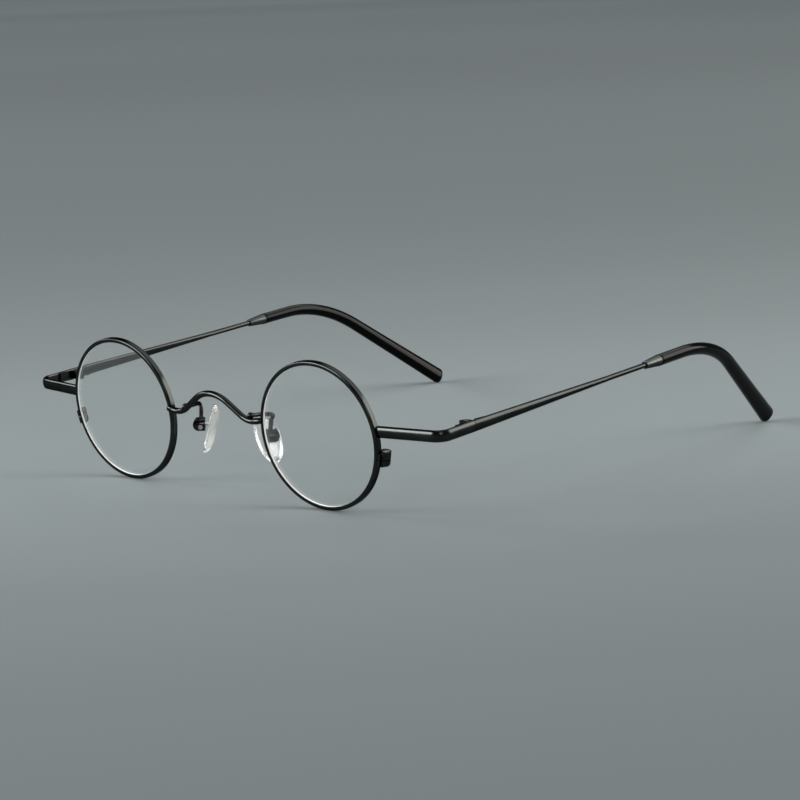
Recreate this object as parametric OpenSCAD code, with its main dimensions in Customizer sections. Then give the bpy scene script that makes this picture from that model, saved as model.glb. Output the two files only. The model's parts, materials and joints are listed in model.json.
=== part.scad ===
// Round wire eyeglasses, standing open on their rims and on the ends of their temples.
// Millimetres. X runs across the face, +X on the wearer's left. The lenses face -Y. Z is up.
// The origin is under the middle of the glasses, on the surface that they stand on.

/* [Rims] */
// Outside diameter of each round rim
rim_d = 33.6; // [28:0.1:42]
// Radial wall of a rim
rim_wall = 0.95; // [0.8:0.05:1.4]
// Depth of a rim from front to back
rim_depth = 1.5; // [1.3:0.1:2.2]
// Chamfer along the edges of a rim's outer band
rim_chamfer = 0.12; // [0.05:0.01:0.25]
// Depth of the V groove that holds the lens
groove_depth = 0.4; // [0.25:0.05:0.5]
// Gap between the two rims at the nose
rim_gap = 28; // [24:0.5:32]
// Forward lean of the tops of the rims, in degrees
rim_lean = 6.7; // [3:0.1:10]
// Backward sweep of the outer sides of the rims, in degrees
rim_wrap = 1.5; // [0:0.1:4]

/* [Lenses] */
// Thickness of a lens
lens_t = 1.3; // [1:0.1:1.4]
// Radius of the front surface of a lens
lens_curve = 130; // [90:5:200]

/* [Rim locks] */
// Angle of a lock below the middle of the rim's outer side, in degrees
lock_angle = 12.6; // [8:0.2:30]
// Height of a lock, both blocks together
lock_h = 3.6; // [3:0.1:5]
// Diameter of the lock barrel
lock_d = 2.3; // [2:0.1:2.8]
// Thickness of the foot that wraps the rim's outer band
lock_foot_t = 0.45; // [0.3:0.05:0.7]
// Width of the saw cut that splits the rim and parts the two blocks
lock_slit = 0.16; // [0.1:0.02:0.3]
// Diameter of a lock screw
lock_screw_d = 0.9; // [0.7:0.05:1]
// Diameter of a lock screw's head
lock_head_d = 1.5; // [1.3:0.05:1.7]

/* [Bridge] */
// Diameter of the bridge wire
bridge_d = 1.4; // [1.1:0.05:1.8]
// Height of the bridge's valleys above the middle of the rims
bridge_rise = 1.6; // [0:0.1:3]
// Distance from a rim to the lowest point of the valley beside it
valley_inset = 2.2; // [1.8:0.1:3]
// Radius of the saddle's arch
arch_r = 8.5; // [7:0.1:9.5]
// Radius of the valleys
valley_r = 5.4; // [4:0.1:6.5]
// Steepest slope of the bridge, in degrees
arch_slope = 36; // [30:0.5:40]
// Forward lean of the arch, in degrees
arch_lean = 10.7; // [5:0.1:15]
// Upturn of the wire's ends where they meet the rims, in degrees
bridge_upturn = 10; // [4:1:14]

/* [Nose pads] */
// Distance from a rim's nose side to its pad pivot
pivot_inset = 2.3; // [2:0.1:3]
// Distance of the pad pivots behind the rims' front
pivot_back = 6.1; // [5.4:0.1:8]
// Depth of the pad pivots below the middle of the rims
pivot_drop = 3.1; // [2.4:0.1:4.5]
// Angle of the pads' width to the line of sight, in degrees
pad_splay = 42; // [30:1:48]
// Lean of the pads' tops towards the nose, in degrees
pad_lean = 14.6; // [8:0.2:18]
// Turn of the pads in their own plane, with their tops forwards, in degrees
pad_turn = 16; // [0:1:20]
// Length of a pad
pad_l = 12.2; // [10:0.1:13]
// Width of a pad
pad_w = 6; // [5.6:0.1:7]
// Thickness of a pad
pad_t = 2; // [1.7:0.1:2.4]
// Distance of the pad's flat side from its pivot
pad_reach = 1.7; // [1.7:0.05:2.4]
// Distance of the pad's middle in front of its pivot, along the pad's width
pad_ahead = 1; // [0:0.1:1.3]
// Height of the pad's middle over its pivot
pad_lift = 0.1; // [-1:0.1:0.5]
// Diameter of the pad arm wire
arm_d = 0.95; // [0.8:0.05:1.1]
// Diameter of the brazed knob where the arm starts
arm_knob_d = 1.5; // [1.3:0.05:1.7]
// Diameter of the round pad box
box_d = 3.3; // [3:0.05:3.5]
// Width of the slot that the core's eye swivels in
box_slot = 1.3; // [1.1:0.05:1.5]
// Diameter of a pad screw
pad_screw_d = 0.8; // [0.6:0.05:0.9]
// Diameter of a pad screw's head
pad_head_d = 1.1; // [1:0.05:1.3]

/* [End pieces and temples] */
// Distance from a rim's outer side to the middle of the temple bar
end_reach = 15.7; // [12:0.1:18]
// Height of the end pieces above the middle of the rims
end_rise = 2.6; // [1.5:0.1:3.5]
// Distance of the end piece's corner behind the rims' front
corner_back = 3.6; // [3:0.1:5]
// Backward sweep of the end piece's front arm, in degrees
end_sweep = 8; // [4:0.5:11]
// Radius of the end piece's bend, at the middle of the bar
end_bend_r = 2.9; // [2:0.1:3.6]
// Height of the bar at the hinge
bar_h = 2.55; // [2.3:0.05:3]
// Thickness of the bar
bar_t = 1.1; // [0.9:0.05:1.3]
// Squareness of the bar's outer side, from 2 for an oval to 6 for almost a rectangle
bar_crown = 2.1; // [2:0.1:6]
// Distance of the hinge pins behind the rims' front
hinge_back = 13.9; // [13:0.1:16]
// Upward slope of the temples towards the back, in degrees
temple_rise = 3.9; // [2:0.1:5]
// Length of the tapered bar from the hinge pin
taper_l = 47; // [35:1:55]
// Distance from the hinge pin to the ferrule
ferrule_at = 60.4; // [56:0.2:68]
// Diameter of the temple wire behind the taper
wire_d = 1.2; // [1:0.05:1.4]

/* [Hinges] */
// Diameter of the hinge knuckles
knuckle_d = 2.9; // [2.5:0.05:3.1]
// Height of the three knuckles together
hinge_h = 1.9; // [1.8:0.05:2.4]
// Gap between the knuckles and the bar
knuckle_gap = 0.2; // [0.15:0.01:0.3]
// Thickness of the hinge leaves
leaf_t = 0.45; // [0.35:0.05:0.6]
// Length of the front hinge leaf from the pin
front_leaf_l = 5; // [4:0.1:5.5]
// Length of the temple hinge leaf from the pin
temple_leaf_l = 6.6; // [4:0.1:8]
// Diameter of the hinge screw
hinge_pin_d = 1; // [0.8:0.05:1.2]
// Diameter of the hinge screw's head
hinge_head_d = 1.7; // [1.5:0.05:1.9]

/* [Ferrules and tips] */
// Length of a ferrule
ferrule_l = 5.4; // [4:0.1:7]
// Diameter of a ferrule's front end
ferrule_front_d = 1.8; // [1.6:0.05:2.2]
// Diameter of a tip where it meets the ferrule
tip_front_d = 2.7; // [2.4:0.05:3.2]
// Width of the tip's flat sides at its end
tip_end_h = 4.1; // [3.4:0.1:5]
// Thickness of the tip at its end
tip_end_t = 2.9; // [2.5:0.1:3.4]
// Length of the tip before it bends
tip_straight = 8.9; // [6:0.1:14]
// Radius of the bend behind the ear
tip_bend_r = 35; // [25:1:45]
// Angle of the bend behind the ear, in degrees
tip_bend = 39.7; // [36:0.1:48]
// Inward lean of the drop behind the ear, in degrees
tip_lean = 19.6; // [8:0.1:24]
// Bare length of acetate past the end of the core wire
core_short = 8; // [5:0.5:15]

/* [Hidden] */

// Clearances: a fit that is brazed or pressed, a running fit on radius, and a gap between moving faces
seat = 0.01;
running = 0.03;
moving_gap = 0.05;
slot_w = 0.22;
slot_deep = 0.16;
cut = 0.02;

gunmetal = [0.13, 0.13, 0.14];
acetate = [0.03, 0.03, 0.035];
silver = [0.75, 0.75, 0.77];
clear = [0.85, 0.9, 0.92, 0.35];

// Rims
rim_r = rim_d / 2;
rim_x = rim_gap / 2 + rim_r;
rim_half = rim_depth / 2;
rim_lip = 0.08;
rim_in = rim_r - rim_wall;
rim_z = rim_r * cos(rim_lean) + (rim_half - rim_chamfer) * sin(rim_lean);

// A point given in the rim's own frame, with x outwards and y backwards, in the frame of the whole
function from_rim(p) =
    let (y = p[1] * cos(rim_lean) - p[2] * sin(rim_lean),
         z = p[1] * sin(rim_lean) + p[2] * cos(rim_lean))
    [rim_x + p[0] * cos(rim_wrap) - y * sin(rim_wrap),
     rim_half + p[0] * sin(rim_wrap) + y * cos(rim_wrap),
     rim_z + z];

// Lenses
lens_r = rim_in - seat;
lens_bevel_r = rim_in + groove_depth - seat;
lens_sag = lens_curve - sqrt(pow(lens_curve, 2) - pow(lens_r, 2));
lens_front = lens_t / 2 + lens_sag;

// Rim locks, in a frame whose x runs outwards along the lock's radius and z along the rim
lock_sunk = 0.7;
lock_ahead = 0.4;
lock_x = rim_r + lock_d / 2 - lock_sunk;
lock_y = rim_half + lock_d / 2 - lock_ahead;
lock_plate_h = lock_h - 0.5;
lock_web_t = 0.9;
lock_round = 0.9;
round_steps = 4;
screw_head_h = 0.35;

// Bridge, in its own leaning plane
valley_x = rim_gap / 2 - valley_inset;
slope_l = (valley_x - (arch_r + valley_r) * sin(arch_slope)) / cos(arch_slope);
arch_h = (arch_r + valley_r) * (1 - cos(arch_slope)) + slope_l * sin(arch_slope);
bridge_anchor = from_rim([-rim_r, -rim_half, bridge_rise]);
bridge_proud = 0.1;
bridge_y = bridge_anchor[1] - bridge_proud;
bridge_z = bridge_anchor[2];
bridge_lap = 0.45;
arch_steps = 6;
valley_steps = 6;
// One half of the bridge's middle line: places in its plane, each with the wire's slope there
half_bridge = concat(
    [for (i = [0:arch_steps])
        let (a = arch_slope * i / arch_steps)
        [arch_r * sin(a), arch_h - arch_r * (1 - cos(a)), -a]],
    [for (i = [0:valley_steps])
        let (a = -arch_slope + (arch_slope + bridge_upturn) * i / valley_steps)
        [valley_x + valley_r * sin(a), valley_r * (1 - cos(a)), a]],
    [[bridge_anchor[0] + bridge_lap, valley_r * (1 - cos(bridge_upturn)) +
        (bridge_anchor[0] + bridge_lap - valley_x - valley_r * sin(bridge_upturn)) * tan(bridge_upturn),
        bridge_upturn]]
);
arch_top_y = bridge_y - arch_h * sin(arch_lean);

// Nose pads
pivot = [rim_gap / 2 - pivot_inset, pivot_back, rim_z - pivot_drop];
box_face = 1.05;
box_back = 1.65;
box_lift = 0.5;
box_horn = 0.45;
box_cheek_t = 0.45;
box_groove = box_slot + 0.4;
pad_head_h = 0.4;
pad_screw_back = box_d / 2 - 0.35;
eye_d = 1.8;
eye_t = box_slot - 2 * moving_gap;
core_inset = 1.5;
core_l = pad_l - 2 * core_inset;
core_w = pad_w - 2 * core_inset;
core_t = 0.7;
core_sunk = 0.25;
stem_d = 0.8;
stem_lift = 0.5;
stem_sunk = 0.2;
// The furthest that a pad rocks to either side, and the room over its stem for that
pad_swing = 12;
slot_top = stem_lift + stem_d / 2 + box_face * tan(pad_swing) + moving_gap;
pad_edge_t = 0.35;
pad_crown = 1.2;
pad_crown_t = 0.3;
pad_end_share = 0.62;

// Pad arm: from a knob behind the bridge's valley, back, over a small bend and down to its box
knob = [valley_x - 1.45, bridge_y + 1.1, bridge_z + 0.95];
arm_drop_x = pivot[0] - 0.4;
arm_drop_y = pivot[1] - 0.1;
arm_points = [
    knob,
    [knob[0] + 0.4, knob[1] + 0.5 * (arm_drop_y - knob[1]), knob[2] - 0.1],
    [arm_drop_x + 0.4, arm_drop_y - 0.3, knob[2] - 0.2],
    [arm_drop_x + 0.6, arm_drop_y + 0.4, knob[2] - 0.7],
    [arm_drop_x + 0.2, arm_drop_y + 0.3, knob[2] - 1.6],
    [arm_drop_x, arm_drop_y, pivot[2] + box_lift + box_d / 2 - 0.7]
];

// End pieces, hinges and temples
bar_x = rim_x + rim_r + end_reach;
corner_z = rim_z + end_rise;
bend_angle = 90 - end_sweep;
bend_set = end_bend_r * tan(bend_angle / 2);
hinge_x = bar_x - bar_t / 2 - knuckle_gap - knuckle_d / 2;
hinge_z = corner_z + (hinge_back - corner_back) * tan(temple_rise);
front_arm_l = (bar_x - rim_x - rim_in) / cos(end_sweep);
knuckle_h = (hinge_h - 2 * moving_gap) / 3;
leaf_h = bar_h - 0.35;
leaf_start = 1.1;
leaf_nose = 2;
link_w = 0.95;
ferrule_edge = 0.15;

// Tips. The drop behind the ear bends in a plane that leans inwards.
tip_at = ferrule_at + ferrule_l;
bend_at = tip_at + tip_straight;
down = [-sin(tip_lean), 0, -cos(tip_lean)];
side_dir = [cos(tip_lean), 0, -sin(tip_lean)];
function heading(a) = [0, cos(a), 0] + sin(a) * down;
function upward(a) = [0, sin(a), 0] - cos(a) * down;
bend_end = [0, bend_at + tip_bend_r * sin(tip_bend), 0] + tip_bend_r * (1 - cos(tip_bend)) * down;

// A rounded rectangle of half height a and half thickness b, with corner radius r, as points
corner_points = 4;
function ring(c, up, side, a, b, r) = [
    for (q = [0:3])
    for (i = [0:corner_points - 1])
    let (t = 90 * q + 90 * (i + 0.5) / corner_points,
         sx = (q == 0 || q == 3) ? 1 : -1,
         sz = (q < 2) ? 1 : -1)
    c + (sx * (b - r) + r * cos(t)) * side + (sz * (a - r) + r * sin(t)) * up
];

// Height of a point of the temple's own frame over the hinge pin
function over_pin(p) = p[1] * sin(temple_rise) + p[2] * cos(temple_rise);

// The tip's end is rounded over these steps: how far along, and how much smaller
cap_steps = 5;
cap_l = 1.2;
function cap_shrink(i) = cap_l * (1 - sqrt(1 - pow(i / cap_steps, 2)));
function cap_run(i) = cap_l * i / cap_steps;
end_a = tip_end_h / 2;
end_b = tip_end_t / 2;
end_r = end_b - 0.25;
function end_ring(c, i) =
    let (s = cap_shrink(i))
    ring(c + cap_run(i) * heading(tip_bend), upward(tip_bend), side_dir,
         end_a - s, end_b - s, max(end_r - s, 0.15));

// The drop is as long as it takes for the end of the tip to reach the surface
cap_low = min([for (i = [0:cap_steps]) min([for (p = end_ring([0, 0, 0], i)) over_pin(p)])]);
drop_l = (hinge_z + over_pin(bend_end) + cap_low) / -over_pin(heading(tip_bend));

front_a = tip_front_d / 2;
bend_steps = 12;
drop_steps = 5;
function blend_from(a, b, t) = a + (b - a) * t;
// Share of the way from the tip's front size to its end size
function swell(s) = pow(s, 1.5);
tip_path_l = tip_straight + tip_bend_r * tip_bend * PI / 180 + drop_l;
function tip_ring(c, a, s) =
    let (k = swell(s / tip_path_l))
    ring(c, upward(a), side_dir, blend_from(front_a, end_a, k), blend_from(front_a, end_b, k),
         blend_from(front_a, end_r, k));

// A place on the temple's middle line in the temple's own frame, l past the start of the bend
function bend_place(a) = [0, bend_at + tip_bend_r * sin(a), 0] + tip_bend_r * (1 - cos(a)) * down;
function drop_place(l) = bend_end + l * heading(tip_bend);

tip_rings = concat(
    [tip_ring([0, tip_at + moving_gap, 0], 0, 0)],
    [for (i = [0:bend_steps])
        let (a = tip_bend * i / bend_steps)
        tip_ring(bend_place(a), a, tip_straight + tip_bend_r * a * PI / 180)],
    [for (i = [1:drop_steps - 1])
        let (l = drop_l * i / drop_steps)
        tip_ring(drop_place(l), tip_bend, tip_path_l - drop_l + l)],
    [for (i = [0:cap_steps]) end_ring(drop_place(drop_l), i)]
);

// The round core wire, or the bore for it, from a place on the straight part to its end in the drop
function core_rings(start, extra, short) =
    let (r = wire_d / 2 + extra)
    concat(
        [ring([0, start, 0], upward(0), side_dir, r, r, r)],
        [for (i = [0:bend_steps])
            let (a = tip_bend * i / bend_steps)
            ring(bend_place(a), upward(a), side_dir, r, r, r)],
        [ring(drop_place(drop_l - short), upward(tip_bend), side_dir, r, r, r)]
    );

// The bar's section is crowned outside and flat inside, where the hinge is brazed on
inner_crown = 6;
function power(v, e) = sign(v) * pow(abs(v), e);
function crowned_ring(c, up, side, a, b, outer, inner) = [
    for (i = [0:4 * corner_points - 1])
    let (t = 90 * (i + 0.5) / corner_points, e = 2 / (cos(t) > 0 ? outer : inner))
    c + b * power(cos(t), e) * side + a * power(sin(t), e) * up
];

// Tapered bar, from a face that is upright at the hinge to the round wire
taper_steps = 5;
function bar_ring(y, t, up) =
    crowned_ring([0, y, 0], up, [1, 0, 0], blend_from(bar_h, wire_d, t) / 2,
                 blend_from(bar_t, wire_d, t) / 2, blend_from(bar_crown, 2, t),
                 blend_from(inner_crown, 2, t));
bar_rings = concat(
    [bar_ring(moving_gap, 0, [0, tan(temple_rise), 1])],
    [for (i = [1:taper_steps]) bar_ring(taper_l * i / taper_steps, i / taper_steps, [0, 0, 1])]
);

// End piece, in the frame of its corner: from the rim along the front arm, round the bend, to the hinge
end_bend_steps = 10;
end_l = (hinge_back - corner_back - moving_gap / 2) / cos(temple_rise);
function corner_ring(c, a, up) =
    crowned_ring(c, up, [cos(a), -sin(a), 0], bar_h / 2, bar_t / 2, bar_crown, inner_crown);
end_piece_rings = concat(
    [corner_ring(-front_arm_l * [cos(end_sweep), sin(end_sweep), 0], bend_angle, [0, 0, 1])],
    [for (i = [end_bend_steps:-1:0])
        let (a = bend_angle * i / end_bend_steps)
        corner_ring([-end_bend_r, bend_set, 0] + end_bend_r * [cos(a), -sin(a), 0], a, [0, 0, 1])],
    [corner_ring([0, end_l, 0], 0, [0, tan(temple_rise), 1])]
);
function backwards(rings) = [for (i = [len(rings) - 1:-1:0]) rings[i]];

// Bridge, from the right rim to the left one
function bridge_ring(x, z, a) =
    ring([x, 0, z], [-sin(a), 0, cos(a)], [0, -1, 0], bridge_d / 2, bridge_d / 2, bridge_d / 2);
bridge_rings = concat(
    [for (i = [len(half_bridge) - 1:-1:1])
        let (h = half_bridge[i]) bridge_ring(-h[0], h[1], -h[2])],
    [for (h = half_bridge) bridge_ring(h[0], h[1], h[2])]
);

// Pad arm: a round knob, then a wire on a smooth curve through its points
arm_steps = 4;
knob_steps = 5;
function unit(v) = v / norm(v);
function spline(p, i, t) =
    let (a = p[max(i - 1, 0)], b = p[i], c = p[i + 1], d = p[min(i + 2, len(p) - 1)])
    b + ((c - a) * t + (2 * a - 5 * b + 4 * c - d) * t * t + (3 * b - a - 3 * c + d) * t * t * t) / 2;
function spline_heading(p, i, t) =
    let (a = p[max(i - 1, 0)], b = p[i], c = p[i + 1], d = p[min(i + 2, len(p) - 1)])
    unit((c - a) + 2 * (2 * a - 5 * b + 4 * c - d) * t + 3 * (3 * b - a - 3 * c + d) * t * t);
function round_ring(c, along, r) =
    let (side = unit([1, 0, 0] - along[0] * along))
    ring(c, cross(side, along), side, r, r, r);
knob_r = arm_knob_d / 2;
knob_way = unit(arm_points[1] - knob);
knob_neck = 180 - asin(arm_d / arm_knob_d);
arm_rings = concat(
    [for (i = [1:knob_steps])
        let (a = knob_neck * i / knob_steps)
        round_ring(knob - knob_r * cos(a) * knob_way, knob_way, knob_r * sin(a))],
    [for (i = [0:len(arm_points) - 2])
        for (j = [1:arm_steps])
        if (i > 0 || j > 2)
        let (t = j / arm_steps)
        round_ring(spline(arm_points, i, t), spline_heading(arm_points, i, t), arm_d / 2)]
);

// The whole stands with its middle over the origin
front_y = arch_top_y - bridge_d / 2;
function behind_pin(p) = p[1] * cos(temple_rise) - p[2] * sin(temple_rise);
tip_back = max([for (r = tip_rings) max([for (p = r) behind_pin(p)])]);
back_y = hinge_back + tip_back;
centre_y = (front_y + back_y) / 2;

// Helpers
module on_left() translate([0, -centre_y, 0]) children();
module on_right() mirror([1, 0, 0]) on_left() children();
module at_rim() translate([rim_x, rim_half, rim_z]) rotate([rim_lean, 0, rim_wrap]) children();
module at_lock() at_rim() rotate([0, lock_angle, 0]) children();
module at_pivot() translate(pivot) rotate([0, 0, -pad_splay]) children();
module at_corner() translate([bar_x, corner_back, corner_z]) rotate([temple_rise, 0, 0]) children();
module at_hinge() translate([hinge_x, hinge_back, hinge_z]) children();
module at_temple() translate([bar_x, hinge_back, hinge_z]) rotate([temple_rise, 0, 0]) children();

// A skin over rings that all have the same number of points, closed at both ends
module skin(rings) {
    n = len(rings[0]);
    m = len(rings);
    points = [for (r = rings) each r];
    sides = [
        for (j = [0:m - 2])
        for (i = [0:n - 1])
        let (a = j * n + i, b = j * n + (i + 1) % n)
        each [[a, b + n, a + n], [a, b, b + n]]
    ];
    first = [for (i = [1:n - 2]) [0, i + 1, i]];
    last = [for (i = [1:n - 2]) [(m - 1) * n, (m - 1) * n + i, (m - 1) * n + i + 1]];
    polyhedron(points = points, faces = concat(first, sides, last));
}

module screw_slot(d) cube([d + 1, slot_w, 2 * slot_deep], center = true);

// Rims
module rim_section() {
    polygon([
        [rim_in, -rim_half + rim_lip], [rim_in + rim_lip, -rim_half], [rim_r - rim_chamfer, -rim_half],
        [rim_r, -rim_half + rim_chamfer], [rim_r, rim_half - rim_chamfer], [rim_r - rim_chamfer, rim_half],
        [rim_in + rim_lip, rim_half], [rim_in, rim_half - rim_lip], [rim_in, groove_depth],
        [rim_in + groove_depth, 0], [rim_in, -groove_depth]
    ]);
}

module rim_ring() at_rim() rotate([90, 0, 0]) rotate_extrude($fn = 160) rim_section();

// The space that a rim and its lens fill, for what is brazed on to the rim
module rim_space() at_rim() rotate([90, 0, 0]) cylinder(r = rim_r, h = rim_depth, center = true, $fn = 160);

module rim() color(gunmetal) difference() {
    rim_ring();
    at_lock() translate([rim_r, 0, 0]) cube([4 * rim_wall, 2 * rim_depth, lock_slit], center = true);
}

module lens() color(clear) at_rim() rotate([90, 0, 0]) difference() {
    intersection() {
        translate([0, 0, lens_front - lens_curve]) sphere(r = lens_curve, $fn = 360);
        rotate_extrude($fn = 160) polygon([
            [0, -lens_t], [lens_r, -lens_t], [lens_r, -groove_depth], [lens_bevel_r, 0],
            [lens_r, groove_depth], [lens_r, 2 * lens_t + lens_sag], [0, 2 * lens_t + lens_sag]
        ]);
    }
    translate([0, 0, lens_front - lens_curve]) sphere(r = lens_curve - lens_t, $fn = 360);
}

// Rim locks
module lock_barrel() rotate_extrude($fn = 48) polygon(concat(
    [[0, lock_h / 2], [0, -lock_h / 2]],
    [for (i = [0:round_steps])
        let (a = 90 * i / round_steps)
        [lock_d / 2 - lock_round * (1 - sin(a)), -lock_h / 2 + lock_round * (1 - cos(a))]],
    [[lock_d / 2, lock_h / 2]]
));

module lock_blank() {
    translate([lock_x, lock_y, 0]) lock_barrel();
    difference() {
        rotate([90, 0, 0])
            cylinder(r = rim_r + lock_foot_t, h = rim_depth - 2 * rim_chamfer, center = true, $fn = 160);
        for (s = [-1, 1]) translate([0, 0, s * rim_d])
            cube([3 * rim_d, rim_d, 2 * rim_d - lock_plate_h], center = true);
        translate([-rim_d, 0, 0]) cube([2 * rim_d + 2, rim_d, rim_d], center = true);
    }
    translate([lock_x, lock_y / 2, 0]) cube([lock_web_t, lock_y, lock_plate_h], center = true);
}

module lock_half(s) color(gunmetal) difference() {
    at_lock() difference() {
        lock_blank();
        translate([0, 0, -s * rim_d + s * lock_slit / 2]) cube([4 * rim_d, rim_d, 2 * rim_d], center = true);
        translate([lock_x, lock_y, 0])
            cylinder(d = lock_screw_d + 2 * seat, h = 2 * lock_h, center = true, $fn = 32);
        translate([lock_x, lock_y, lock_h / 2 - screw_head_h])
            cylinder(d = lock_head_d + 2 * seat, h = 1, $fn = 32);
    }
    rim_space();
}

module lock_top() lock_half(1);
module lock_bottom() lock_half(-1);

module lock_screw() color(gunmetal) at_lock() translate([lock_x, lock_y, 0]) difference() {
    union() {
        translate([0, 0, -lock_h / 2]) cylinder(d = lock_screw_d, h = lock_h - cut, $fn = 32);
        translate([0, 0, lock_h / 2 - screw_head_h + seat])
            cylinder(d = lock_head_d, h = screw_head_h, $fn = 32);
    }
    translate([0, 0, lock_h / 2]) screw_slot(lock_head_d);
}

// Bridge
module bridge_wire() translate([0, bridge_y, bridge_z]) rotate([arch_lean, 0, 0]) skin(bridge_rings);

module bridge() color(gunmetal) difference() {
    bridge_wire();
    rim_space();
    mirror([1, 0, 0]) rim_space();
}

// Nose pads
module pad_arm() color(gunmetal) difference() {
    skin(arm_rings);
    bridge_wire();
    pad_box();
}

module pad_box_body() {
    intersection() {
        union() {
            translate([0, 0, box_lift]) rotate([90, 0, 0])
                cylinder(d = box_d, h = box_d + 1, center = true, $fn = 48);
            translate([-box_back, 0, box_lift]) cube([2 * box_back, box_d + 1, box_d], center = true);
        }
        translate([-box_face, 0, box_lift]) rotate([0, 90, 0])
            cylinder(d = box_d, h = box_face + box_back, $fn = 48);
    }
}

module pad_screw_hole(d) rotate([90, 0, 0]) cylinder(d = d, h = 2 * box_d, center = true, $fn = 32);

module pad_head_seat() rotate([90, 0, 0]) translate([0, 0, box_slot / 2 + box_cheek_t])
    cylinder(d = pad_head_d + 2 * seat, h = box_d, $fn = 32);

module pad_box() color(gunmetal) at_pivot() difference() {
    pad_box_body();
    translate([-box_face - 1, -box_slot / 2, -box_d])
        cube([box_face + 1 + eye_d / 2 + moving_gap, box_slot, box_d + slot_top]);
    translate([-box_d, -box_groove / 2, box_lift + box_d / 2 - box_horn])
        cube([2 * box_d, box_groove, box_d]);
    pad_screw_hole(pad_screw_d + 2 * seat);
    pad_head_seat();
}

module pad_screw() color(silver) at_pivot() rotate([90, 0, 0]) difference() {
    union() {
        translate([0, 0, -pad_screw_back])
            cylinder(d = pad_screw_d, h = pad_screw_back + box_slot / 2 + box_cheek_t + 2 * seat, $fn = 32);
        translate([0, 0, box_slot / 2 + box_cheek_t + seat])
            cylinder(d = pad_head_d, h = pad_head_h, $fn = 32);
    }
    translate([0, 0, box_slot / 2 + box_cheek_t + seat + pad_head_h]) screw_slot(pad_head_d);
}

// The pad's own frame: its flat side faces +X and its length runs along Z
module at_pad() rotate([0, -pad_lean, 0]) translate([-pad_reach, -pad_ahead, pad_lift])
    rotate([pad_turn, 0, 0]) children();

// An oval plate: a wide round in the middle and a smaller one at either end
module pad_plate(l, w, t) {
    end_d = w * pad_end_share;
    rotate([0, 90, 0]) cylinder(d = w, h = t, $fn = 32);
    for (s = [-1, 1]) translate([0, 0, s * (l - end_d) / 2]) rotate([0, 90, 0])
        cylinder(d = end_d, h = t, $fn = 32);
}

module pad_blank() hull() {
    translate([-pad_edge_t, 0, 0]) pad_plate(pad_l, pad_w, pad_edge_t);
    translate([-pad_t, 0, 0]) pad_plate(pad_l - 2 * pad_crown, pad_w - 2 * pad_crown, pad_crown_t);
}

module pad_core_blank() {
    at_pad() {
        translate([-core_sunk - core_t, -core_w / 2, -(core_l - core_w) / 2])
            cube([core_t, core_w, core_l - core_w]);
        for (s = [-1, 1]) translate([-core_sunk - core_t, 0, s * (core_l - core_w) / 2]) rotate([0, 90, 0])
            cylinder(d = core_w, h = core_t, $fn = 40);
    }
    translate([-pad_reach - core_sunk - stem_sunk, 0, stem_lift]) rotate([0, 90, 0])
        cylinder(d = stem_d, h = pad_reach + core_sunk, $fn = 32);
    rotate([90, 0, 0]) cylinder(d = eye_d, h = eye_t, center = true, $fn = 40);
}

module pad_core() color(silver) at_pivot() difference() {
    pad_core_blank();
    pad_screw_hole(pad_screw_d + 2 * running);
}

module nose_pad() color(clear) at_pivot() difference() {
    at_pad() pad_blank();
    pad_core_blank();
}

// End pieces
module end_piece() color(gunmetal) difference() {
    at_corner() skin(end_piece_rings);
    rim_space();
}

// Hinges
module knuckle(level) translate([0, 0, level * (knuckle_h + moving_gap) - knuckle_h / 2])
    cylinder(d = knuckle_d, h = knuckle_h, $fn = 48);

module knuckle_link(level, s)
    translate([0, s > 0 ? knuckle_d / 2 - link_w : -knuckle_d / 2,
               level * (knuckle_h + moving_gap) - knuckle_h / 2])
    cube([knuckle_d / 2 + knuckle_gap - seat, link_w, knuckle_h]);

module front_leaf_plate() translate([knuckle_d / 2 + knuckle_gap - leaf_t, -front_leaf_l, -leaf_h / 2])
    cube([leaf_t - seat, front_leaf_l - leaf_start, leaf_h]);

module front_hinge() color(gunmetal) at_hinge() difference() {
    union() {
        for (level = [-1, 1]) {
            knuckle(level);
            knuckle_link(level, -1);
        }
        translate([0, 0, -front_leaf_l / 2 * tan(temple_rise)]) front_leaf_plate();
    }
    cylinder(d = hinge_pin_d + 2 * seat, h = 2 * hinge_h, center = true, $fn = 32);
    translate([0, 0, hinge_h / 2 - screw_head_h]) cylinder(d = hinge_head_d + 2 * seat, h = 1, $fn = 32);
}

module hinge_screw() color(gunmetal) at_hinge() difference() {
    union() {
        translate([0, 0, -hinge_h / 2]) cylinder(d = hinge_pin_d, h = hinge_h - cut, $fn = 32);
        translate([0, 0, hinge_h / 2 - screw_head_h + seat])
            cylinder(d = hinge_head_d, h = screw_head_h, $fn = 32);
    }
    translate([0, 0, hinge_h / 2]) screw_slot(hinge_head_d);
}

module temple_leaf_plate() translate([0, 0, (temple_leaf_l / 2) * tan(temple_rise)])
    rotate([0, 90, 0]) translate([0, 0, knuckle_d / 2 + knuckle_gap - leaf_t])
    linear_extrude(leaf_t - seat) polygon([
        [-leaf_h / 2, leaf_start], [leaf_h / 2, leaf_start], [leaf_h / 2, temple_leaf_l - leaf_nose],
        [leaf_h / 4, temple_leaf_l], [-leaf_h / 4, temple_leaf_l], [-leaf_h / 2, temple_leaf_l - leaf_nose]
    ]);

module temple_hinge() color(gunmetal) at_hinge() difference() {
    union() {
        knuckle(0);
        knuckle_link(0, 1);
        temple_leaf_plate();
    }
    cylinder(d = hinge_pin_d + 2 * running, h = 2 * hinge_h, center = true, $fn = 32);
}

// Temples: the bar, the wire and the core of the tip are one piece
module temple() color(gunmetal) at_temple() skin(concat(bar_rings, core_rings(bend_at - 1, 0, core_short)));

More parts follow.
